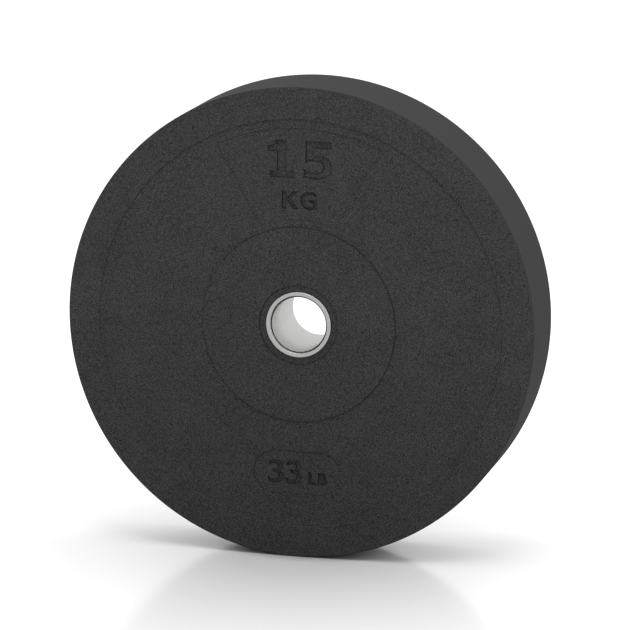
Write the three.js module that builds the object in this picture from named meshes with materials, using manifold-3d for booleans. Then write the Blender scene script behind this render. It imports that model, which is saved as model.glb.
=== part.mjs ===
import * as THREE from 'three';
import { mergeVertices } from 'three/addons/utils/BufferGeometryUtils.js';
import Module from 'manifold-3d';

// A crumb rubber bumper plate moulded round a steel hub, for a 50 mm bar sleeve. Lengths are in millimetres.
// The origin is the plate's centre and the bore runs along Y. The front face looks towards -Y, and the tread
// rests on the floor below, towards -Z. Each round surface is cut into flats that touch its true circle.

// The plate as a whole
const plateDiameter = 450;
const plateThickness = 84;
const fitClearance = 0.3;
const cutOverrun = 2;

// The steel sleeve that the bar slides through
const boreDiameter = 52;
const sleeveWall = 0.8;
const sleeveSetback = 2.8;
const sleeveLead = 0.5;
const sleeveLeadLength = 1.8;
const sleeveEdgeRound = 0.2;
const leadWallShare = 0.9;

// The end rings, one flush with each face
const ringWall = 4.2;
const ringLength = 10;
const ringEdgeRound = 0.5;
const ringLead = 0.6;
const ringLeadLength = 2.6;

// The anchor disc that keys the sleeve into the rubber
const anchorDiameter = 160;
const anchorThickness = 5;
const anchorHoleDiameter = 18;
const anchorHoleCount = 8;

// The rubber body: a raised rim and hub with a shallow recess between them on each face
const treadEdgeRound = 1.2;
const rimWidth = 29.8;
const hubDiameter = 186;
const recessDepth = 1.2;
const stepDraft = 0.15;
const moatWidth = 6.5;
const moatDepth = 1.5;
const creaseWidth = 0.3;
const creaseDepth = 0.15;

// The sunk panel that carries the weight in kilograms
const panelHubMargin = 6.6;
const panelRimMargin = 8.8;
const panelApexHeight = 31;
const panelApexShift = -1.6;
const panelHalfAngle = Math.PI / 6;
const panelDepth = 0.5;
const kilogramDigitHeight = 35.5;
const kilogramLetterHeight = 16.8;
const kilogramLineSpacing = 12.4;
const kilogramDrop = 0.6;
const digitGapShare = 0.22;
const letteringDepth = 2.1;
const characterGap = 1.6;

// The sunk label that carries the weight in pounds
const labelWidth = 86;
const labelHeight = 42;
const labelDepth = 0.8;
const poundDigitHeight = 22;
const poundLetterHeight = 12;
const poundWordGap = 6;

// How finely the round surfaces are cut
const bodySides = 80;
const hubSides = 48;
const holeSides = 16;
const curveSteps = 4;
const edgeSteps = 2;

// The characters' outlines, as shares of the cap height. A row of two shares runs straight to that point,
// a row of four curves to its last point past one handle, and a row of six past two handles.
const characterShares = {
  1: {
    width: 0.755,
    outline: [
      [0.07, 0], [0.735, 0], [0.735, 0.18], [0.51, 0.18], [0.51, 1], [0.225, 1],
      [0.2, 0.845, 0, 0.845], [0, 0.69], [0.255, 0.69], [0.255, 0.18], [0.07, 0.18],
    ],
  },
  3: {
    width: 0.72,
    outline: [
      [0.05, 0.94], [0.17, 1.015, 0.34, 1.015], [0.68, 1.015, 0.68, 0.76], [0.68, 0.58, 0.5, 0.53],
      [0.72, 0.48, 0.72, 0.29], [0.72, -0.015, 0.31, -0.015], [0.12, -0.015, 0, 0.05], [0, 0.25],
      [0.14, 0.165, 0.29, 0.165], [0.465, 0.165, 0.465, 0.3], [0.465, 0.44, 0.3, 0.44], [0.2, 0.44],
      [0.2, 0.605], [0.3, 0.605], [0.44, 0.605, 0.44, 0.73], [0.44, 0.84, 0.3, 0.84],
      [0.16, 0.84, 0.05, 0.755],
    ],
  },
  5: {
    width: 0.775,
    outline: [
      [0.05, 1], [0.75, 1], [0.75, 0.806], [0.286, 0.806], [0.286, 0.622],
      [0.57, 0.665, 0.774, 0.55, 0.774, 0.325], [0.774, 0.11, 0.59, -0.015, 0.32, -0.015],
      [0.14, -0.015, 0, 0.045], [0, 0.262], [0.16, 0.172, 0.32, 0.172], [0.523, 0.172, 0.523, 0.325],
      [0.523, 0.473, 0.3, 0.473], [0.17, 0.473, 0.05, 0.44],
    ],
  },
  K: {
    width: 0.97,
    outline: [
      [0, 0], [0.27, 0], [0.27, 0.33], [0.36, 0.43], [0.64, 0], [0.97, 0], [0.56, 0.58], [0.94, 1],
      [0.62, 1], [0.27, 0.6], [0.27, 1], [0, 1],
    ],
  },
  G: {
    width: 0.98,
    outline: [
      [0.92, 0.9], [0.74, 1.02, 0.55, 1.02], [0.24, 1.02, 0, 0.82, 0, 0.5],
      [0, 0.18, 0.22, -0.02, 0.56, -0.02], [0.79, -0.02, 0.98, 0.09], [0.98, 0.56], [0.53, 0.56],
      [0.53, 0.38], [0.71, 0.38], [0.71, 0.2],
      [0.28, 0.1, 0.28, 0.5], [0.28, 0.83, 0.56, 0.83], [0.74, 0.83, 0.92, 0.68],
    ],
  },
  L: {
    width: 0.64,
    outline: [[0, 0], [0.64, 0], [0.64, 0.19], [0.26, 0.19], [0.26, 1], [0, 1]],
  },
  B: {
    width: 0.78,
    outline: [
      [0, 0], [0.42, 0], [0.78, 0, 0.78, 0.29], [0.78, 0.48, 0.58, 0.53], [0.73, 0.58, 0.73, 0.75],
      [0.73, 1, 0.4, 1], [0, 1],
    ],
    counters: [
      [[0.26, 0.18], [0.38, 0.18], [0.52, 0.18, 0.52, 0.3], [0.52, 0.42, 0.38, 0.42], [0.26, 0.42]],
      [[0.26, 0.6], [0.36, 0.6], [0.47, 0.6, 0.47, 0.71], [0.47, 0.82, 0.36, 0.82], [0.26, 0.82]],
    ],
  },
};

// Radii and places that follow from the sizes above
const treadRadius = plateDiameter / 2;
const faceY = plateThickness / 2;
const boreRadius = boreDiameter / 2;
const sleeveRadius = boreRadius + sleeveWall;
const ringInnerRadius = sleeveRadius + fitClearance;
const ringRadius = ringInnerRadius + ringWall;
const ringSeatRadius = ringRadius + fitClearance;
const moatRadius = ringSeatRadius + moatWidth;
const moatFootRadius = moatRadius - stepDraft;
const hubRadius = hubDiameter / 2;
const hubFootRadius = hubRadius + stepDraft;
const rimRadius = treadRadius - rimWidth;
const recessY = faceY - recessDepth;
const panelInnerRadius = hubRadius + panelHubMargin;
const panelOuterRadius = rimRadius - panelRimMargin;
const panelMiddleRadius = (panelInnerRadius + panelOuterRadius) / 2;
const anchorHoleCircleRadius = (sleeveRadius + anchorDiameter / 2) / 2;

const rubberMaterial = new THREE.MeshStandardMaterial({ color: 0x3b3b3b, roughness: 0.92, metalness: 0 });
const sleeveMaterial = new THREE.MeshStandardMaterial({ color: 0xb9b9b7, roughness: 0.38, metalness: 1 });
const ringMaterial = new THREE.MeshStandardMaterial({ color: 0xb4b4b3, roughness: 0.32, metalness: 1 });
const anchorMaterial = new THREE.MeshStandardMaterial({ color: 0x8c8c8a, roughness: 0.55, metalness: 1 });

const wasm = await Module();
wasm.setup();

// A three.js geometry as a solid that can be cut and joined
function solidFrom(geometry) {
  const bare = geometry.clone();
  bare.deleteAttribute('normal');
  bare.deleteAttribute('uv');
  const merged = mergeVertices(bare);
  return new wasm.Manifold(new wasm.Mesh({
    numProp: 3,
    vertProperties: new Float32Array(merged.attributes.position.array),
    triVerts: new Uint32Array(merged.index.array),
  }));
}

function geometryFrom(solid) {
  const mesh = solid.getMesh();
  const geometry = new THREE.BufferGeometry();
  geometry.setAttribute('position', new THREE.BufferAttribute(mesh.vertProperties, 3));
  geometry.setIndex(new THREE.BufferAttribute(mesh.triVerts, 1));
  geometry.computeVertexNormals();
  return geometry;
}

// A solid turned about the plate's axis from a closed profile of [radius, y] points
function turned(profile, sides) {
  const flatsToCorners = 1 / Math.cos(Math.PI / sides);
  const closed = [...profile, profile[0]];
  const points = closed.map(([radius, y]) => new THREE.Vector2(radius * flatsToCorners, y));
  return new THREE.LatheGeometry(points, sides, Math.PI / sides);
}

// A front half profile, from the bore outwards, with its mirror image behind it
function withMirroredBack(front) {
  const back = front.map(([radius, y]) => [radius, -y]).reverse();
  return [...front, ...back];
}

// Points of a rounded corner where a wall along the axis meets a face square to it. They run outwards in
// radius: from the wall to the face at an inner corner, and from the face to the wall at an outer one.
function roundedCorner(radius, y, round, outwards) {
  const points = [];
  for (let step = 0; step <= edgeSteps; step += 1) {
    const angle = (step / edgeSteps) * (Math.PI / 2);
    const along = outwards ? Math.sin(angle) : Math.cos(angle);
    const deep = outwards ? Math.cos(angle) : Math.sin(angle);
    const side = outwards ? -1 : 1;
    points.push([radius + side * round * (1 - along), y + round * (1 - deep)]);
  }
  return points;
}

// A ring of pins along the plate's axis, where the anchor disc has its holes
function anchorPins(radius) {
  const cornerRadius = radius / Math.cos(Math.PI / holeSides);
  const length = anchorThickness + 2 * cutOverrun;
  const pins = [];
  for (let index = 0; index < anchorHoleCount; index += 1) {
    const angle = ((index + 0.5) / anchorHoleCount) * 2 * Math.PI;
    const pin = new THREE.CylinderGeometry(cornerRadius, cornerRadius, length, holeSides);
    pin.translate(anchorHoleCircleRadius * Math.cos(angle), 0, anchorHoleCircleRadius * Math.sin(angle));
    pins.push(solidFrom(pin));
  }
  return pins.reduce((all, one) => all.add(one));
}

// Path or shape from rows of shares, scaled to a cap height and set with its lower left corner at a point
function drawRows(path, rows, height, left, base) {
  const place = (row) => row.map((share, index) => share * height + (index % 2 === 0 ? left : base));
  path.moveTo(...place(rows[0].slice(-2)));
  for (const row of rows.slice(1)) {
    if (row.length === 2) path.lineTo(...place(row));
    if (row.length === 4) path.quadraticCurveTo(...place(row));
    if (row.length === 6) path.bezierCurveTo(...place(row));
  }
  path.closePath();
  return path;
}

function wordWidth(word, height) {
  const widths = [...word].map((character) => characterShares[character].width * height);
  return widths.reduce((sum, width) => sum + width, characterGap * (word.length - 1));
}

// Shapes of a word's characters, from its left end on a base line
function wordShapes(word, height, left, base) {
  const shapes = [];
  let place = left;
  for (const character of word) {
    const { width, outline, counters = [] } = characterShares[character];
    const shape = drawRows(new THREE.Shape(), outline, height, place, base);
    shape.holes = counters.map((rows) => drawRows(new THREE.Path(), rows, height, place, base));
    shapes.push(shape);
    place += width * height + characterGap;
  }
  return shapes;
}

// A cutter that sinks shapes drawn on the front face to a depth, and runs out in front of the plate
function sinkingCutter(shapes, bottomY) {
  const depth = faceY + cutOverrun - bottomY;
  const options = { depth, bevelEnabled: false, curveSegments: curveSteps };
  const geometry = new THREE.ExtrudeGeometry(shapes, options);
  geometry.rotateX(Math.PI / 2);
  geometry.translate(0, -bottomY, 0);
  return solidFrom(geometry);
}

// Where a side of the kilogram panel meets a circle about the bore, as an angle. Each side (1 right, -1 left)
// leans out from the panel's apex.
function panelCornerAngle(radius, side) {
  const apex = new THREE.Vector2(panelApexShift, panelApexHeight);
  const slope = new THREE.Vector2(side * Math.sin(panelHalfAngle), Math.cos(panelHalfAngle));
  const along = apex.dot(slope);
  const corner = apex.addScaledVector(slope, Math.sqrt(along ** 2 + radius ** 2 - apex.lengthSq()) - along);
  return corner.angle();
}

// The kilogram panel: two arcs about the bore, joined by its two sides
function panelShape() {
  const inner = panelInnerRadius;
  const outer = panelOuterRadius;
  const shape = new THREE.Shape();
  shape.absarc(0, 0, outer, panelCornerAngle(outer, 1), panelCornerAngle(outer, -1), false);
  shape.absarc(0, 0, inner, panelCornerAngle(inner, -1), panelCornerAngle(inner, 1), true);
  shape.closePath();
  return shape;
}

// The pound label: a plain bar with round ends below the bore
function labelShape() {
  const endRadius = labelHeight / 2;
  const endX = labelWidth / 2 - endRadius;
  const shape = new THREE.Shape();
  shape.absarc(endX, -panelMiddleRadius, endRadius, -Math.PI / 2, Math.PI / 2, false);
  shape.absarc(-endX, -panelMiddleRadius, endRadius, Math.PI / 2, (3 * Math.PI) / 2, false);
  shape.closePath();
  return shape;
}

function kilogramWords() {
  const blockHeight = kilogramDigitHeight + kilogramLineSpacing + kilogramLetterHeight;
  const letterBase = panelMiddleRadius - blockHeight / 2 - kilogramDrop;
  const digitBase = letterBase + kilogramLetterHeight + kilogramLineSpacing;
  const digitGap = kilogramDigitHeight * digitGapShare;
  const digitWidth = wordWidth('1', kilogramDigitHeight) + digitGap + wordWidth('5', kilogramDigitHeight);
  return [
    ...wordShapes('1', kilogramDigitHeight, -digitWidth / 2, digitBase),
    ...wordShapes('5', kilogramDigitHeight, digitWidth / 2 - wordWidth('5', kilogramDigitHeight), digitBase),
    ...wordShapes('KG', kilogramLetterHeight, -wordWidth('KG', kilogramLetterHeight) / 2, letterBase),
  ];
}

function poundWords() {
  const digits = wordWidth('33', poundDigitHeight);
  const letters = wordWidth('LB', poundLetterHeight);
  const left = -(digits + poundWordGap + letters) / 2;
  const base = -panelMiddleRadius - poundDigitHeight / 2;
  return [
    ...wordShapes('33', poundDigitHeight, left, base),
    ...wordShapes('LB', poundLetterHeight, left + digits + poundWordGap, base),
  ];
}

// Everything that is sunk into one face's recess
function faceCutter() {
  const cuts = [
    [[panelShape()], recessY - panelDepth],
    [kilogramWords(), recessY - panelDepth - letteringDepth],
    [[labelShape()], recessY - labelDepth],
    [poundWords(), recessY - labelDepth - letteringDepth],
  ];
  return cuts.map(([shapes, bottomY]) => sinkingCutter(shapes, bottomY)).reduce((all, one) => all.add(one));
}

// The moulded body, with both faces alike and a fine crease along the foot of the hub's two walls. The anchor
// disc fills a slot that opens on the bore, and the rubber runs through the disc's holes as pegs.
function makeRubberBody() {
  const seatY = faceY - ringLength - fitClearance;
  const front = [
    [sleeveRadius + fitClearance, -seatY],
    [ringSeatRadius, -seatY],
    [ringSeatRadius, -(faceY - moatDepth)],
    [moatFootRadius - creaseWidth, -(faceY - moatDepth)],
    [moatFootRadius, -(faceY - moatDepth - creaseDepth)],
    [moatRadius, -faceY],
    [hubRadius, -faceY],
    [hubFootRadius, -(recessY - creaseDepth)],
    [hubFootRadius + creaseWidth, -recessY],
    [rimRadius - stepDraft, -recessY],
    [rimRadius, -faceY],
    ...roundedCorner(treadRadius, -faceY, treadEdgeRound, true),
  ];
  const blank = solidFrom(turned(withMirroredBack(front), bodySides));
  const frontCutter = faceCutter();
  const backCutter = frontCutter.rotate([0, 0, 180]);
  const slotY = anchorThickness / 2 + fitClearance;
  const slotRadius = anchorDiameter / 2 + fitClearance;
  const slotProfile = [[boreRadius, slotY], [boreRadius, -slotY], [slotRadius, -slotY], [slotRadius, slotY]];
  const slot = solidFrom(turned(slotProfile, bodySides));
  const slotAroundPegs = slot.subtract(anchorPins(anchorHoleDiameter / 2 - fitClearance));
  return geometryFrom(blank.subtract(frontCutter).subtract(backCutter).subtract(slotAroundPegs));
}

// The sleeve is a plain tube. A lead chamfer at each end eases its ring on and leaves a groove inside it.
function makeSleeve() {
  const endY = faceY - sleeveSetback;
  const lead = Math.min(sleeveLead, (sleeveWall - sleeveEdgeRound) * leadWallShare);
  const front = [
    ...roundedCorner(boreRadius, -endY, sleeveEdgeRound, false),
    [sleeveRadius - lead, -endY],
    [sleeveRadius, -(endY - sleeveLeadLength)],
  ];
  return turned(withMirroredBack(front), hubSides);
}

// One end ring, flush with the plate's front face. Its outer edge is rounded, and a tapered lead opens its
// mouth in front of the sleeve's end.
function makeEndRing() {
  const lead = Math.min(ringLead, (ringWall - ringEdgeRound) * leadWallShare);
  const profile = [
    [ringInnerRadius, -(faceY - ringLength)],
    [ringInnerRadius, -(faceY - ringLeadLength)],
    [ringInnerRadius + lead, -faceY],
    ...roundedCorner(ringRadius, -faceY, ringEdgeRound, true),
    [ringRadius, -(faceY - ringLength)],
  ];
  return turned(profile, hubSides);
}

// The anchor disc, welded round the middle of the sleeve and drilled so that the rubber flows through it
function makeAnchorDisc() {
  const halfThickness = anchorThickness / 2;
  const innerRadius = sleeveRadius + fitClearance;
  const outerRadius = anchorDiameter / 2;
  const profile = [
    [innerRadius, halfThickness],
    [innerRadius, -halfThickness],
    [outerRadius, -halfThickness],
    [outerRadius, halfThickness],
  ];
  const disc = solidFrom(turned(profile, hubSides));
  return geometryFrom(disc.subtract(anchorPins(anchorHoleDiameter / 2)));
}

function addPiece(parent, name, geometry, material) {
  const mesh = new THREE.Mesh(geometry, material);
  mesh.name = name;
  parent.add(mesh);
  return mesh;
}

const group = new THREE.Group();
addPiece(group, 'rubber_body', makeRubberBody(), rubberMaterial);
addPiece(group, 'bore_sleeve', makeSleeve(), sleeveMaterial);
addPiece(group, 'anchor_disc', makeAnchorDisc(), anchorMaterial);
addPiece(group, 'front_end_ring', makeEndRing(), ringMaterial);
const backRing = addPiece(group, 'back_end_ring', makeEndRing(), ringMaterial);
backRing.rotation.z = Math.PI;

export default group;
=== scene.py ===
import math

import bmesh
import bpy
from mathutils import Matrix, Vector


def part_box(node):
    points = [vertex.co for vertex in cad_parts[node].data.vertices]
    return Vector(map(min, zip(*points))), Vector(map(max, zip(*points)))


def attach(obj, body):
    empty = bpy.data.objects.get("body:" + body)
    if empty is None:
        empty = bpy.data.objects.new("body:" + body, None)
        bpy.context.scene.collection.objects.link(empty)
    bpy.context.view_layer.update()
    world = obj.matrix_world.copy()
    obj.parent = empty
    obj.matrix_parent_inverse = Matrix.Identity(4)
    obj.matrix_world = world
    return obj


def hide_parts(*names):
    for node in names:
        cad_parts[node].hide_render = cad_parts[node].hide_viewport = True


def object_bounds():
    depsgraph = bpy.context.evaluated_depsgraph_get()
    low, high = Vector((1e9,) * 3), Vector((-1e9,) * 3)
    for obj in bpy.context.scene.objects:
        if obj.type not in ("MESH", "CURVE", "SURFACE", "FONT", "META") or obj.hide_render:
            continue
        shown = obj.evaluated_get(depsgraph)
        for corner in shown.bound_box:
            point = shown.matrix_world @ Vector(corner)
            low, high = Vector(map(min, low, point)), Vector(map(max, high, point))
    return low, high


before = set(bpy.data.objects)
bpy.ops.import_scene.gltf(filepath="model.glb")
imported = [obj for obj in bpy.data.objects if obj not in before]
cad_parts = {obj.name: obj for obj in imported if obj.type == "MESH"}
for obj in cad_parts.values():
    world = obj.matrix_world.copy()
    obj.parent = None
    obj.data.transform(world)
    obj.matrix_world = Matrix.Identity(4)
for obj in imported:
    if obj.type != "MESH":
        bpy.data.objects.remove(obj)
cad_low, cad_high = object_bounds()

# The bore sleeve is the thin stainless tube that the bar slides through. Its ends stop short of the plate's
# faces, and a lead chamfer outside each end leaves a dark groove inside the end ring pressed over it. Its
# steel carries painted shade towards its front mouth, and is darker towards its bottom.
sleeve_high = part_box("bore_sleeve")[1]
sleeve_radius = sleeve_high.x
sleeve_end = sleeve_high.y
sleeve_wall = 0.0008
sleeve_lead = 0.0005
sleeve_lead_length = 0.0018
sleeve_mouth_round = 0.0002
sleeve_edge_round = 0.0001
bore_radius = sleeve_radius - sleeve_wall
bored_steel_colour = (0.69, 0.688, 0.682)
lead_steel_colour = (0.9, 0.898, 0.89)
# Painted shade darkens the bore's steel towards its front mouth; the steel is also darker towards its
# bottom.
darkening_colour = (0.2, 0.198, 0.194)
painted_mouth_shade = 0.43
painted_mouth_shade_length = 0.03
bottom_darkening = 0.18
insert_sides = 192
corner_steps = 4
merge_distance = 0.000001
lead_slot = 1


def turned_body(bm, corners, sides, closed=True):
    """Spins a profile of (radius, y, rounding) corners about the plate's axis, once they are rounded."""
    verts = [bm.verts.new((radius, y, 0.0)) for radius, y, rounding in corners]
    following = verts[1:] + verts[:1] if closed else verts[1:]
    for start, end in zip(verts, following):
        bm.edges.new((start, end))
    for vert, (radius, y, rounding) in zip(verts, corners):
        if rounding:
            bmesh.ops.bevel(bm, geom=[vert], offset=rounding, offset_type="OFFSET", segments=corner_steps,
                            profile=0.5, affect="VERTICES", material=-1)
    bmesh.ops.spin(bm, geom=bm.verts[:] + bm.edges[:], cent=(0, 0, 0), axis=(0, 1, 0), dvec=(0, 0, 0),
                   angle=2 * math.pi, steps=sides, use_merge=True)
    bmesh.ops.remove_doubles(bm, verts=bm.verts, dist=merge_distance)


def finished_piece(bm, name, materials, nodes):
    """Turns a bmesh into a smooth piece that rides on the plate's one body in place of its CAD nodes."""
    bmesh.ops.recalc_face_normals(bm, faces=bm.faces)
    for face in bm.faces:
        face.smooth = True
    mesh = bpy.data.meshes.new(name)
    bm.to_mesh(mesh)
    bm.free()
    for material in materials:
        mesh.materials.append(material)
    piece = bpy.data.objects.new(name, mesh)
    bpy.context.scene.collection.objects.link(piece)
    weighted = piece.modifiers.new("Weighted normals", "WEIGHTED_NORMAL")
    weighted.keep_sharp = True
    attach(piece, "root")
    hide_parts(*nodes)


def fill_socket(socket, value):
    """Sets an input socket's value, or links it to the output socket that it is given."""
    if isinstance(value, bpy.types.NodeSocket):
        socket.id_data.links.new(value, socket)
    else:
        socket.default_value = value


def linked(nodes, kind, **sockets):
    """Adds a shader node and fills its named input sockets."""
    node = nodes.new(kind)
    for name, value in sockets.items():
        fill_socket(node.inputs[name.replace("_", " ")], value)
    return node


def reckoned(nodes, kind, operation, *values):
    """Adds a maths node and fills its input sockets in order."""
    node = nodes.new(kind)
    node.operation = operation
    for socket, value in zip(node.inputs, values):
        fill_socket(socket, value)
    return node


def toned(nodes, pattern, dark, light, dark_until=0.0, light_from=1.0):
    """The colour for a pattern's value, from a dark tone to a light one."""
    ramp = linked(nodes, "ShaderNodeValToRGB", Fac=pattern)
    ends = zip(ramp.color_ramp.elements, (dark_until, light_from), (dark, light))
    for end, position, colour in ends:
        end.position = position
        end.color = (*colour, 1)
    return ramp.outputs["Color"]


def blended(nodes, share, first, second):
    """The mix of two colours, by the places that a mix node's share and colour sockets have."""
    mix = nodes.new("ShaderNodeMix")
    mix.data_type = "RGBA"
    fill_socket(mix.inputs[0], share)
    fill_socket(mix.inputs[6], first)
    fill_socket(mix.inputs[7], second)
    return mix.outputs[2]


def new_material(name):
    """A new material with its nodes, its shader and its Object coordinates."""
    material = bpy.data.materials.new(name)
    material.use_nodes = True
    nodes = material.node_tree.nodes
    shader = nodes["Principled BSDF"]
    place = nodes.new("ShaderNodeTexCoord").outputs["Object"]
    return material, nodes, shader, place


def turned_steel(name, colour, roughness, groove_pitch, along_bore):
    """Satin stainless steel with fine tool marks, round the bore's wall or round a faced end."""
    # At a scale of 1, the wave texture turns through 20 radians in each metre.
    wave_turn = 2 * math.pi / 20
    mark_depth = 0.00005
    cloud_shade = 0.92
    sheen_spread = 0.05
    material, nodes, shader, place = new_material(name)
    links = material.node_tree.links
    marks = linked(nodes, "ShaderNodeTexWave", Vector=place, Scale=wave_turn / groove_pitch, Distortion=1.5,
                   Detail=2.0, Detail_Scale=2.0)
    marks.wave_type = "BANDS" if along_bore else "RINGS"
    marks.bands_direction = "Y"
    marks.rings_direction = "Y"
    cloud = linked(nodes, "ShaderNodeTexNoise", Vector=place, Scale=160.0, Detail=4.0, Roughness=0.6)
    shaded_colour = [cloud_shade * channel for channel in colour]
    tone = toned(nodes, cloud.outputs["Fac"], shaded_colour, colour, dark_until=0.3, light_from=0.7)
    # Painted shade: the bore's steel darkens towards its front mouth, and it is also darker towards its
    # bottom.
    if along_bore:
        along = linked(nodes, "ShaderNodeSeparateXYZ", Vector=place)
        mouth_shade_share = linked(nodes, "ShaderNodeMapRange", Value=along.outputs["Y"], From_Min=-sleeve_end,
                       From_Max=-sleeve_end + painted_mouth_shade_length, To_Min=painted_mouth_shade, To_Max=0.0)
        second_pattern = linked(nodes, "ShaderNodeMapRange", Value=along.outputs["Z"], From_Min=-bore_radius,
                      From_Max=0.0, To_Min=bottom_darkening, To_Max=0.0)
        darkening_share = reckoned(nodes, "ShaderNodeMath", "ADD", mouth_shade_share.outputs["Result"], second_pattern.outputs["Result"])
        tone = blended(nodes, darkening_share.outputs["Value"], tone, (*darkening_colour, 1))
    links.new(tone, shader.inputs["Base Color"])
    sheen = linked(nodes, "ShaderNodeMapRange", Value=cloud.outputs["Fac"], To_Min=roughness - sheen_spread,
                   To_Max=roughness + sheen_spread)
    links.new(sheen.outputs["Result"], shader.inputs["Roughness"])
    relief = linked(nodes, "ShaderNodeBump", Strength=0.12, Distance=mark_depth, Height=marks.outputs["Fac"])
    links.new(relief.outputs["Normal"], shader.inputs["Normal"])
    shader.inputs["Metallic"].default_value = 1.0
    return material


sleeve_steel = turned_steel("satin bored steel", bored_steel_colour, 0.4, 0.00025, along_bore=True)
lead_steel = turned_steel("bar worn steel", lead_steel_colour, 0.25, 0.0002, along_bore=False)

bm = bmesh.new()
turned_body(bm, [
    (bore_radius, -sleeve_end, sleeve_mouth_round),
    (sleeve_radius - sleeve_lead, -sleeve_end, sleeve_edge_round),
    (sleeve_radius, -sleeve_end + sleeve_lead_length, sleeve_edge_round),
    (sleeve_radius, sleeve_end - sleeve_lead_length, sleeve_edge_round),
    (sleeve_radius - sleeve_lead, sleeve_end, sleeve_edge_round),
    (bore_radius, sleeve_end, sleeve_mouth_round),
], insert_sides)
for face in bm.faces:
    middle = face.calc_center_median()
    if math.hypot(middle.x, middle.z) > sleeve_radius - sleeve_lead:
        face.material_index = lead_slot
finished_piece(bm, "bore_sleeve_tube", [sleeve_steel, lead_steel], ["bore_sleeve"])

# The anchor disc is a drilled steel plate welded round the middle of the sleeve and buried in the rubber, so
# it keeps its CAD shape. It is left in its dull mill finish, with the faint scale of hot rolled steel.
scale_dark = (0.16, 0.16, 0.165)
scale_light = (0.34, 0.335, 0.33)
scale_depth = 0.0001
anchor_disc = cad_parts["anchor_disc"]
mill_steel, nodes, shader, place = new_material("mill scale steel")
links = mill_steel.node_tree.links
scale_cloud = linked(nodes, "ShaderNodeTexNoise", Vector=place, Scale=70.0, Detail=6.0, Roughness=0.65)
scale_tone = toned(nodes, scale_cloud.outputs["Fac"], scale_dark, scale_light, dark_until=0.35,
                   light_from=0.65)
links.new(scale_tone, shader.inputs["Base Color"])
scale_sheen = linked(nodes, "ShaderNodeMapRange", Value=scale_cloud.outputs["Fac"], To_Min=0.45, To_Max=0.7)
links.new(scale_sheen.outputs["Result"], shader.inputs["Roughness"])
scale_relief = linked(nodes, "ShaderNodeBump", Strength=0.2, Distance=scale_depth,
                      Height=scale_cloud.outputs["Fac"])
links.new(scale_relief.outputs["Normal"], shader.inputs["Normal"])
shader.inputs["Metallic"].default_value = 1.0
for slot in anchor_disc.material_slots:
    slot.material = mill_steel

# The end rings are turned stainless collars pressed over the sleeve's ends, and the front one is the bright
# band round the bore. Their outer faces are level with the plate's faces, and both edges are eased. The lead
# in each mouth is worn bright by bars.
ring_edge_round = 0.0005
ring_back_round = 0.0002
ring_mouth_round = 0.0004
ring_lead = 0.0006
ring_lead_length = 0.0026
lead_start_share = 0.02
lead_end_share = 0.9
ring_gap = 0.0003
ring_inner_radius = sleeve_radius + ring_gap
ring_steel_colour = (0.475, 0.472, 0.468)
ring_steel = turned_steel("satin faced steel", ring_steel_colour, 0.33, 0.0002, along_bore=False)

for ring_node, side in (("front_end_ring", -1), ("back_end_ring", 1)):
    ring_low, ring_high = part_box(ring_node)
    ring_radius = ring_high.x
    ring_face = side * cad_high.y
    ring_back = ring_face - side * (ring_high.y - ring_low.y)
    bm = bmesh.new()
    turned_body(bm, [
        (ring_inner_radius, ring_back, ring_back_round),
        (ring_inner_radius, ring_face - side * ring_lead_length, ring_back_round),
        (ring_inner_radius + ring_lead, ring_face, ring_mouth_round),
        (ring_radius, ring_face, ring_edge_round),
        (ring_radius, ring_back, ring_back_round),
    ], insert_sides)
    for face in bm.faces:
        middle = face.calc_center_median()
        lead_share = (math.hypot(middle.x, middle.z) - ring_inner_radius) / ring_lead
        in_mouth = abs(middle.y - ring_face) < ring_lead_length
        if in_mouth and lead_start_share < lead_share < lead_end_share:
            face.material_index = lead_slot
    finished_piece(bm, ring_node + "_collar", [ring_steel, lead_steel], [ring_node])

# The rubber body is one compression moulding of bound crumb rubber round the steel. Each face has a raised
# rim and hub, a shallow recess between them, a moat round the end ring, and weight marks sunk in the recess.
# Its walls and creases are smoother and darker, as painted shade; a thin band along the hub's lip is darker
# too.
plate_radius = cad_high.x
face_y = cad_high.y
body_sides = 320
tread_round = 0.0012
rim_width = 0.0298
hub_radius = 0.093
recess_depth = 0.0012
step_draft = 0.00015
step_round = 0.00015
foot_width = 0.0012
moat_width = 0.0065
moat_depth = 0.0015
crease_width = 0.0002
crease_depth = 0.0001
lip_band_width = 0.0002
seat_gap = 0.0003
seat_radius = ring_radius + seat_gap
seat_end = face_y - (ring_high.y - ring_low.y) - seat_gap
moat_radius = seat_radius + moat_width
rim_radius = plate_radius - rim_width
recess_y = face_y - recess_depth
hub_foot_radius = hub_radius + step_draft + foot_width
rim_foot_radius = rim_radius - step_draft - foot_width
slot_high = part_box("anchor_disc")[1]
slot_radius = slot_high.x + seat_gap
slot_half_width = slot_high.y + seat_gap


def mirrored_back(front):
    """A profile's front half with its mirror image, which follows on from it to the back."""
    return front + [(radius, -y, rounding) for radius, y, rounding in reversed(front)]


hub_profile = mirrored_back([
    (hub_foot_radius, -recess_y, 0),
    (hub_radius + step_draft + crease_width, -recess_y, step_round),
    (hub_radius + step_draft, -recess_y + crease_depth, 0),
    (hub_radius, -face_y, step_round),
    (hub_radius - lip_band_width, -face_y, 0),
    (moat_radius, -face_y, step_round),
    (moat_radius - step_draft, -face_y + moat_depth + crease_depth, 0),
    (moat_radius - step_draft - crease_width, -face_y + moat_depth, step_round),
    (seat_radius, -face_y + moat_depth, step_round),
    (seat_radius, -seat_end, 0),
    (ring_inner_radius, -seat_end, 0),
    (ring_inner_radius, -slot_half_width, 0),
    (slot_radius, -slot_half_width, 0),
])
rim_profile = mirrored_back([
    (rim_foot_radius, -recess_y, 0),
    (rim_radius - step_draft, -recess_y, step_round),
    (rim_radius, -face_y, step_round),
    (plate_radius, -face_y, tread_round),
])

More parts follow.
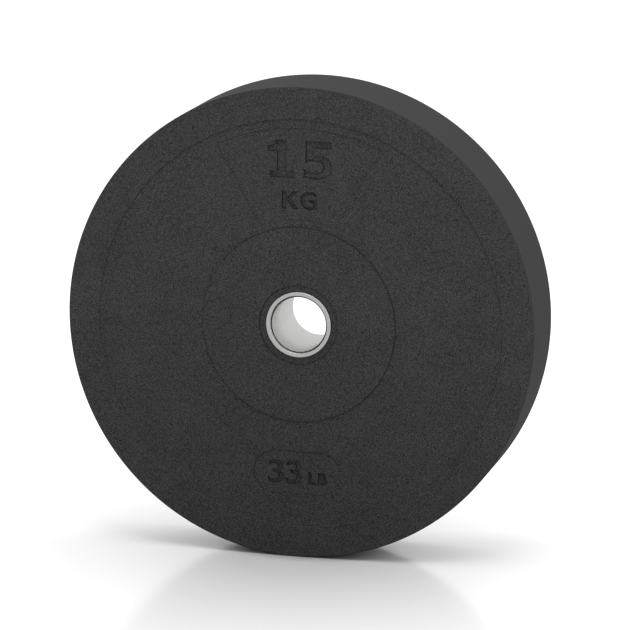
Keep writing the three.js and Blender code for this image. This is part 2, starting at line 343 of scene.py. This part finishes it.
# The marks are sunk in the rubber's recess: "15" over "KG" in a panel between two arcs, and "33 LB" in a bar
# with round ends. Each character's outline is given as shares of its height: two numbers are a corner, and
# four or six are a curve's handles and its end.
panel_hub_margin = 0.0066
panel_rim_margin = 0.0088
panel_inner_radius = hub_radius + panel_hub_margin
panel_outer_radius = rim_radius - panel_rim_margin
panel_middle_radius = (panel_inner_radius + panel_outer_radius) / 2
panel_apex = Vector((-0.0016, 0.031))
panel_half_angle = math.radians(30)
panel_depth = 0.0005
panel_round = 0.0001
label_width = 0.086
label_height = 0.042
label_depth = 0.0008
digit_height = 0.0355
letter_height = 0.0168
line_spacing = 0.0124
kilogram_drop = 0.0006
pound_digit_height = 0.022
pound_letter_height = 0.012
pound_word_gap = 0.006
lettering_depth = 0.0021
lettering_round = 0.00015
wall_steepness = math.radians(84)
character_gap = 0.0016
digit_gap_share = 0.22
arc_step = 0.002
least_arc_steps = 8
curve_steps = 10
wall_slot = 2
character_shares = {
    "1": (0.755, [
        [0.07, 0], [0.735, 0], [0.735, 0.18], [0.51, 0.18], [0.51, 1], [0.225, 1],
        [0.2, 0.845, 0, 0.845], [0, 0.69], [0.255, 0.69], [0.255, 0.18], [0.07, 0.18],
    ]),
    "3": (0.72, [
        [0.05, 0.94], [0.17, 1.015, 0.34, 1.015], [0.68, 1.015, 0.68, 0.76], [0.68, 0.58, 0.5, 0.53],
        [0.72, 0.48, 0.72, 0.29], [0.72, -0.015, 0.31, -0.015], [0.12, -0.015, 0, 0.05], [0, 0.25],
        [0.14, 0.165, 0.29, 0.165], [0.465, 0.165, 0.465, 0.3], [0.465, 0.44, 0.3, 0.44], [0.2, 0.44],
        [0.2, 0.605], [0.3, 0.605], [0.44, 0.605, 0.44, 0.73], [0.44, 0.84, 0.3, 0.84],
        [0.16, 0.84, 0.05, 0.755],
    ]),
    "5": (0.775, [
        [0.05, 1], [0.75, 1], [0.75, 0.806], [0.286, 0.806], [0.286, 0.622],
        [0.57, 0.665, 0.774, 0.55, 0.774, 0.325], [0.774, 0.11, 0.59, -0.015, 0.32, -0.015],
        [0.14, -0.015, 0, 0.045], [0, 0.262], [0.16, 0.172, 0.32, 0.172], [0.523, 0.172, 0.523, 0.325],
        [0.523, 0.473, 0.3, 0.473], [0.17, 0.473, 0.05, 0.44],
    ]),
    "K": (0.97, [
        [0, 0], [0.27, 0], [0.27, 0.33], [0.36, 0.43], [0.64, 0], [0.97, 0], [0.56, 0.58], [0.94, 1],
        [0.62, 1], [0.27, 0.6], [0.27, 1], [0, 1],
    ]),
    "G": (0.98, [
        [0.92, 0.9], [0.74, 1.02, 0.55, 1.02], [0.24, 1.02, 0, 0.82, 0, 0.5],
        [0, 0.18, 0.22, -0.02, 0.56, -0.02], [0.79, -0.02, 0.98, 0.09], [0.98, 0.56], [0.53, 0.56],
        [0.53, 0.38], [0.71, 0.38], [0.71, 0.2], [0.28, 0.1, 0.28, 0.5], [0.28, 0.83, 0.56, 0.83],
        [0.74, 0.83, 0.92, 0.68],
    ]),
    "L": (0.64, [[0, 0], [0.64, 0], [0.64, 0.19], [0.26, 0.19], [0.26, 1], [0, 1]]),
    "B": (0.78, [
        [0, 0], [0.42, 0], [0.78, 0, 0.78, 0.29], [0.78, 0.48, 0.58, 0.53], [0.73, 0.58, 0.73, 0.75],
        [0.73, 1, 0.4, 1], [0, 1],
    ]),
}
counter_shares = {
    "B": [
        [[0.26, 0.18], [0.38, 0.18], [0.52, 0.18, 0.52, 0.3], [0.52, 0.42, 0.38, 0.42], [0.26, 0.42]],
        [[0.26, 0.6], [0.36, 0.6], [0.47, 0.6, 0.47, 0.71], [0.47, 0.82, 0.36, 0.82], [0.26, 0.82]],
    ],
}


def bezier_point(handles, share):
    """The point at a share of the way along a curve, found by joining its handles until one is left."""
    while len(handles) > 1:
        handles = [start.lerp(end, share) for start, end in zip(handles, handles[1:])]
    return handles[0]


def drawn_outline(rows, height, left, base):
    """Points of one closed outline, from its rows of shares."""
    corner = Vector((left, base))
    points = [corner + height * Vector(rows[0])]
    for row in rows[1:]:
        ends = [corner + height * Vector(row[index:index + 2]) for index in range(0, len(row), 2)]
        handles = [points[-1]] + ends
        steps = 1 if len(ends) == 1 else curve_steps
        points += [bezier_point(handles, step / steps) for step in range(1, steps + 1)]
    return points


def arc_outline(centre, radius, start, end):
    """Points of an arc about a centre, in even steps."""
    steps = max(least_arc_steps, round(abs(end - start) * radius / arc_step))
    angles = [start + (end - start) * step / steps for step in range(steps + 1)]
    return [Vector(centre) + radius * Vector((math.cos(angle), math.sin(angle))) for angle in angles]


def word_marks(word, height, left, base):
    """(outline, counters) of each character of a word, from its left end."""
    marks = []
    for character in word:
        width, rows = character_shares[character]
        counters = [drawn_outline(rows_inside, height, left, base)
                    for rows_inside in counter_shares.get(character, [])]
        marks.append((drawn_outline(rows, height, left, base), counters))
        left += width * height + character_gap
    return marks


def word_width(word, height):
    """The width of a word with the gaps between its characters."""
    letters = sum(character_shares[character][0] * height for character in word)
    return letters + character_gap * (len(word) - 1)


def panel_corner_angle(radius, side):
    """The angle at which a slanted side of the panel crosses a circle about the bore."""
    slope = Vector((side * math.sin(panel_half_angle), math.cos(panel_half_angle)))
    along = panel_apex.dot(slope)
    reach = math.sqrt(along ** 2 + radius ** 2 - panel_apex.length_squared) - along
    corner = panel_apex + reach * slope
    return math.atan2(corner.y, corner.x)


def panel_outline():
    """The panel's outer arc and then its inner one, with straight sides between them."""
    arcs = [(panel_outer_radius, 1), (panel_inner_radius, -1)]
    return [point for radius, side in arcs
            for point in arc_outline((0, 0), radius, panel_corner_angle(radius, side),
                                     panel_corner_angle(radius, -side))]


def label_outline():
    """The label's two round ends, with straight sides between them."""
    end_radius = label_height / 2
    end_x = label_width / 2 - end_radius
    right = arc_outline((end_x, -panel_middle_radius), end_radius, -math.pi / 2, math.pi / 2)
    return right + arc_outline((-end_x, -panel_middle_radius), end_radius, math.pi / 2, 3 * math.pi / 2)


def kilogram_marks():
    """The marks of the panel: the two digits wide apart over the two letters."""
    block_height = digit_height + line_spacing + letter_height
    letter_base = panel_middle_radius - block_height / 2 - kilogram_drop
    digit_base = letter_base + letter_height + line_spacing
    one_width, five_width = word_width("1", digit_height), word_width("5", digit_height)
    width = one_width + digit_gap_share * digit_height + five_width
    return (word_marks("1", digit_height, -width / 2, digit_base)
            + word_marks("5", digit_height, width / 2 - five_width, digit_base)
            + word_marks("KG", letter_height, -word_width("KG", letter_height) / 2, letter_base))


def pound_marks():
    """The marks of the label: two digits, and two smaller letters on the same line."""
    digits, letters = word_width("33", pound_digit_height), word_width("LB", pound_letter_height)
    left = -(digits + pound_word_gap + letters) / 2
    base = -panel_middle_radius - pound_digit_height / 2
    return (word_marks("33", pound_digit_height, left, base)
            + word_marks("LB", pound_letter_height, left + digits + pound_word_gap, base))


def flat_patch(bm, outline, y):
    """A flat face inside an outline, looking out of the front face."""
    face = bm.faces.new([bm.verts.new((point.x, y, point.y)) for point in outline])
    face.normal_update()
    if face.normal.y > 0:
        face.normal_flip()
    return face


def soft_bands(depth, rounding):
    """(width, drop) of the bands from a rounded lip, down a steep wall, to a rounded foot."""
    angles = [wall_steepness * step / corner_steps for step in range(corner_steps + 1)]
    lip = [(rounding * (math.sin(b) - math.sin(a)), rounding * (math.cos(a) - math.cos(b)))
           for a, b in zip(angles, angles[1:])]
    wall = depth - 2 * sum(drop for width, drop in lip)
    return lip + [(wall / math.tan(wall_steepness), wall)] + lip[::-1]


def step_patch(bm, face, depth, rounding, way):
    """Sinks a flat patch (way -1) or raises it (way 1) by soft bands, and gives its outer edges."""
    walls = []
    for width, drop in soft_bands(depth, rounding):
        walls += bmesh.ops.inset_individual(bm, faces=[face], thickness=width, depth=way * drop,
                                            use_even_offset=True)["faces"]
    # The walls take the darker wall rubber, which is painted shade in the sunk panels and marks.
    for wall in walls:
        wall.material_index = wall_slot
    return [edge for wall in walls for edge in wall.edges if edge.is_boundary]


def open_patch(bm, face):
    """Takes a flat patch away and gives the edges of its hole."""
    edges = list(face.edges)
    bmesh.ops.delete(bm, geom=[face], context="FACES_ONLY")
    return edges


def fill_flat(bm, edges):
    """Fills the flat level between closed outlines, whose edges come in any order."""
    bmesh.ops.triangle_fill(bm, use_beauty=True, use_dissolve=False, edges=edges, normal=(0, -1, 0))


def sunk_marks(bm, marks, y):
    """Sinks each character from a flat level, and gives the edges where the characters meet that level."""
    rims = []
    for outline, counters in marks:
        patch = flat_patch(bm, outline, y)
        rims += step_patch(bm, patch, lettering_depth, lettering_round, -1)
        if counters:
            floor_edges = open_patch(bm, patch)
            for counter in counters:
                island = flat_patch(bm, counter, y + lettering_depth)
                floor_edges += step_patch(bm, island, lettering_depth, lettering_round, 1)
            fill_flat(bm, floor_edges)
    return rims


def sunk_panel(bm, outline, depth, marks):
    """Sinks one panel with its marks, and gives the edges where it meets the recess."""
    patch = flat_patch(bm, outline, -recess_y)
    rims = step_patch(bm, patch, depth, panel_round, -1)
    fill_flat(bm, open_patch(bm, patch) + sunk_marks(bm, marks, -recess_y + depth))
    return rims


bm = bmesh.new()
turned_body(bm, hub_profile, body_sides, closed=False)
rim_bm = bmesh.new()
turned_body(rim_bm, rim_profile, body_sides, closed=False)
rim_mesh = bpy.data.meshes.new("rim blank")
rim_bm.to_mesh(rim_mesh)
rim_bm.free()
bm.from_mesh(rim_mesh)
bpy.data.meshes.remove(rim_mesh)

turned_faces = set(bm.faces)
front_edges = [edge for edge in bm.edges if edge.is_boundary and edge.verts[0].co.y < 0]
panel_rims = sunk_panel(bm, panel_outline(), panel_depth, kilogram_marks())
label_rims = sunk_panel(bm, label_outline(), label_depth, pound_marks())
fill_flat(bm, front_edges + panel_rims + label_rims)
front_faces = [face for face in bm.faces if face not in turned_faces]
copied = bmesh.ops.duplicate(bm, geom=front_faces)["geom"]
copied_verts = [item for item in copied if isinstance(item, bmesh.types.BMVert)]
bmesh.ops.rotate(bm, verts=copied_verts, cent=(0, 0, 0), matrix=Matrix.Rotation(math.pi, 3, "Z"))
bmesh.ops.remove_doubles(bm, verts=bm.verts, dist=2 * merge_distance)

tread_slot = 1
tread_start = plate_radius - tread_round / 2
hub_wall_end = hub_radius + step_draft + crease_width
hub_lip_band_start = hub_radius - lip_band_width
moat_wall_start = moat_radius - step_draft - crease_width
least_flat_normal = 0.9
bm.normal_update()
# Walls and creases round the moat and hub take the darker wall rubber as painted shade, and so does a thin
# band along the hub's lip.
for face in bm.faces:
    middle = face.calc_center_median()
    reach = math.hypot(middle.x, middle.z)
    on_wall = abs(face.normal.y) < least_flat_normal and moat_wall_start < reach < hub_wall_end
    on_lip_band = hub_lip_band_start < reach < hub_radius and abs(middle.y) > face_y - recess_depth / 2
    if reach > tread_start:
        face.material_index = tread_slot
    elif on_wall or on_lip_band:
        face.material_index = wall_slot


def rubber(name, dark, light, grain_size, grain_relief, roughness, specular):
    """Bound crumb rubber: packed granules of slightly different greys, each with its own low bump."""
    dust_fineness = 1.6
    dust_share = 0.4
    cloud_share = 0.11
    sheen_spread = 0.08
    material, nodes, shader, place = new_material(name)
    links = material.node_tree.links
    granules = linked(nodes, "ShaderNodeTexVoronoi", Vector=place, Scale=1 / grain_size, Randomness=1.0)
    granule_grey = linked(nodes, "ShaderNodeSeparateColor", Color=granules.outputs["Color"]).outputs["Red"]
    second_pattern = linked(nodes, "ShaderNodeTexNoise", Vector=place, Scale=dust_fineness / grain_size, Detail=3.0,
                  Roughness=0.7)
    clouds = linked(nodes, "ShaderNodeTexNoise", Vector=place, Scale=22.0, Detail=3.0, Roughness=0.55)
    speckle = linked(nodes, "ShaderNodeMix", Factor=dust_share, A=granule_grey, B=second_pattern.outputs["Fac"])
    mottle = linked(nodes, "ShaderNodeMix", Factor=cloud_share, A=speckle.outputs["Result"],
                    B=clouds.outputs["Fac"])
    tone = toned(nodes, mottle.outputs["Result"], dark, light, dark_until=0.24, light_from=0.83)
    links.new(tone, shader.inputs["Base Color"])
    sheen = linked(nodes, "ShaderNodeMapRange", Value=granule_grey, To_Min=roughness - sheen_spread,
                   To_Max=roughness + sheen_spread)
    links.new(sheen.outputs["Result"], shader.inputs["Roughness"])
    height = linked(nodes, "ShaderNodeMix", Factor=dust_share, A=granules.outputs["Distance"],
                    B=second_pattern.outputs["Fac"])
    relief = linked(nodes, "ShaderNodeBump", Strength=0.5, Distance=grain_relief,
                    Height=height.outputs["Result"])
    relief.invert = True
    links.new(relief.outputs["Normal"], shader.inputs["Normal"])
    shader.inputs["Specular IOR Level"].default_value = specular
    return material


face_rubber = rubber(
    "crumb rubber face", dark=(0.0015, 0.0015, 0.0016), light=(0.09, 0.09, 0.09),
    grain_size=0.00047, grain_relief=0.0003, roughness=0.88, specular=0.2)
tread_rubber = rubber(
    "moulded rubber tread", dark=(0.029, 0.029, 0.029), light=(0.0405, 0.0405, 0.0405),
    grain_size=0.0009, grain_relief=0.0001, roughness=0.8, specular=0.12)
# The wall rubber is darker than the face, which is painted shade on the walls and creases.
wall_rubber = rubber(
    "rubber wall with painted shade", dark=(0.014, 0.014, 0.014), light=(0.03, 0.03, 0.03),
    grain_size=0.0009, grain_relief=0.0001, roughness=0.88, specular=0.1)
rubbers = [face_rubber, tread_rubber, wall_rubber]
finished_piece(bm, "rubber_moulding", rubbers, ["rubber_body"])

# The floor is a glossy white sheet that the plate stands on. Its colour is greyer close to the plate, as
# painted shade that throws little light up at the tread. To the camera it is dark only at the contact, where
# a contact shadow is painted in, and a painted glow grows away from the plate and behind it, so that the
# plate's shade and mirror image fade into the white backdrop.
floor_reach = 6.0
shade_forward = 0.05
shade_radius = 0.05
open_radius = 0.5
near_shade_grey = (0.15, 0.15, 0.15)
open_grey = (0.9, 0.9, 0.9)
contact_shape = (1.0, 1.5, 0.0)
contact_radius = 0.05
contact_end_radius = 0.09
contact_shadow_grey = 0.38
seen_grey = 0.85
full_glow_radius = 0.425
floor_glow = 0.35
back_direction = (-0.25, 1.0, 0.0)
back_start = 0.012
back_end = 0.062
back_glow = 0.13
floor_bm = bmesh.new()
bmesh.ops.create_grid(floor_bm, x_segments=8, y_segments=8, size=floor_reach)
bmesh.ops.translate(floor_bm, verts=floor_bm.verts, vec=(0, 0, cad_low.z))
floor_mesh = bpy.data.meshes.new("floor")
floor_bm.to_mesh(floor_mesh)
floor_bm.free()
floor = bpy.data.objects.new("floor", floor_mesh)
bpy.context.scene.collection.objects.link(floor)
floor_white, nodes, shader, place = new_material("glossy white floor")
links = floor_white.node_tree.links
shader.inputs["Roughness"].default_value = 0.16
# Painted shade: the floor's own colour is greyer near the plate, so that it throws little light up at the
# tread.
shade_place = linked(nodes, "ShaderNodeMapping", Vector=place, Location=(0, shade_forward, -cad_low.z))
from_shade = reckoned(nodes, "ShaderNodeVectorMath", "LENGTH", shade_place.outputs["Vector"])
open_floor = linked(nodes, "ShaderNodeMapRange", Value=from_shade.outputs["Value"], From_Min=shade_radius,
                    From_Max=open_radius)
open_floor.interpolation_type = "SMOOTHSTEP"
tone = toned(nodes, open_floor.outputs["Result"], near_shade_grey, open_grey)
# Painted contact shadow: the colour that the camera sees darkens towards the contact.
contact_place = reckoned(nodes, "ShaderNodeVectorMath", "MULTIPLY", place, contact_shape)
from_contact = reckoned(nodes, "ShaderNodeVectorMath", "LENGTH", contact_place.outputs["Vector"])
seen_tone = linked(nodes, "ShaderNodeMapRange", Value=from_contact.outputs["Value"], From_Min=contact_radius,
                   From_Max=contact_end_radius, To_Min=contact_shadow_grey, To_Max=seen_grey)
seen = nodes.new("ShaderNodeLightPath").outputs["Is Camera Ray"]
floor_colour = blended(nodes, seen, tone, seen_tone.outputs["Result"])
links.new(floor_colour, shader.inputs["Base Color"])
# Painted glow: to the camera the floor glows more away from the plate and behind it, which lifts the shade
# there.
level = linked(nodes, "ShaderNodeMapRange", Value=from_shade.outputs["Value"], From_Min=shade_radius,
               From_Max=full_glow_radius, To_Min=0.0, To_Max=floor_glow)
across_floor = reckoned(nodes, "ShaderNodeVectorMath", "DOT_PRODUCT", place, back_direction)
behind = linked(nodes, "ShaderNodeMapRange", Value=across_floor.outputs["Value"], From_Min=back_start,
                From_Max=back_end, To_Min=0.0, To_Max=back_glow)
both_levels = reckoned(nodes, "ShaderNodeMath", "ADD", level.outputs["Result"], behind.outputs["Result"])
glow = reckoned(nodes, "ShaderNodeMath", "MULTIPLY", seen, both_levels.outputs["Value"])
shader.inputs["Emission Color"].default_value = (1, 1, 1, 1)
links.new(glow.outputs["Value"], shader.inputs["Emission Strength"])
floor_mesh.materials.append(floor_white)

# The studio is a soft white dome with four square lamps: one overhead, a smaller one above the front, one to
# the right and one low in front. The camera and glossy surfaces see the dome at full white.
world = bpy.data.worlds.new("white studio")
bpy.context.scene.world = world
world.use_nodes = True
nodes = world.node_tree.nodes
links = world.node_tree.links
nodes.clear()
path = nodes.new("ShaderNodeLightPath")
dome = linked(nodes, "ShaderNodeBackground", Color=(1, 1, 1, 1), Strength=0.6)
backdrop = linked(nodes, "ShaderNodeBackground", Color=(1, 1, 1, 1), Strength=1.0)
sees_backdrop = reckoned(nodes, "ShaderNodeMath", "MAXIMUM", path.outputs["Is Camera Ray"],
                         path.outputs["Is Glossy Ray"])
choice = nodes.new("ShaderNodeMixShader")
links.new(sees_backdrop.outputs["Value"], choice.inputs[0])
links.new(dome.outputs["Background"], choice.inputs[1])
links.new(backdrop.outputs["Background"], choice.inputs[2])
output = nodes.new("ShaderNodeOutputWorld")
links.new(choice.outputs["Shader"], output.inputs["Surface"])


def soft_light(name, place, size, power):
    """A square lamp that looks at the plate's centre."""
    lamp = bpy.data.lights.new(name, "AREA")
    lamp.shape = "SQUARE"
    lamp.size = size
    lamp.energy = power
    light = bpy.data.objects.new(name, lamp)
    bpy.context.scene.collection.objects.link(light)
    light.location = place
    light.rotation_euler = (-Vector(place)).to_track_quat("-Z", "Y").to_euler()


soft_light("overhead softbox", place=(0.3, -0.25, 2.6), size=2.4, power=22.0)
soft_light("key softbox", place=(0.25, -0.95, 1.85), size=0.8, power=9.5)
soft_light("right softbox", place=(2.6, -0.15, 1.0), size=1.8, power=15.0)
soft_light("front softbox", place=(1.0, -2.7, 0.9), size=1.6, power=8.5)

# The camera stands in front of the plate, a little to the right and above, and has a long lens. Its place,
# turn and lens were fitted to the plate's outline, its rings and its bore in the photograph.
camera_azimuth = math.radians(14.16)
camera_elevation = math.radians(12.10)
camera_roll = math.radians(0.45)
camera_distance = 3.7487
camera_aim = Vector((0.01611, cad_low.y, 0.01057))
away = Vector((
    math.sin(camera_azimuth) * math.cos(camera_elevation),
    -math.cos(camera_azimuth) * math.cos(camera_elevation),
    math.sin(camera_elevation),
))
lens_data = bpy.data.cameras.new("long lens")
lens_data.sensor_width = 36.0
lens_data.lens = 228.95
lens_data.clip_start = 0.1
lens_data.clip_end = 50.0
camera = bpy.data.objects.new("camera", lens_data)
bpy.context.scene.collection.objects.link(camera)
upright = (-away).to_track_quat("-Z", "Y").to_matrix()
camera.matrix_world = Matrix.Translation(camera_aim + camera_distance * away) @ (
    upright @ Matrix.Rotation(camera_roll, 3, "Z")).to_4x4()
bpy.context.scene.camera = camera
bpy.context.scene.view_settings.view_transform = "Standard"
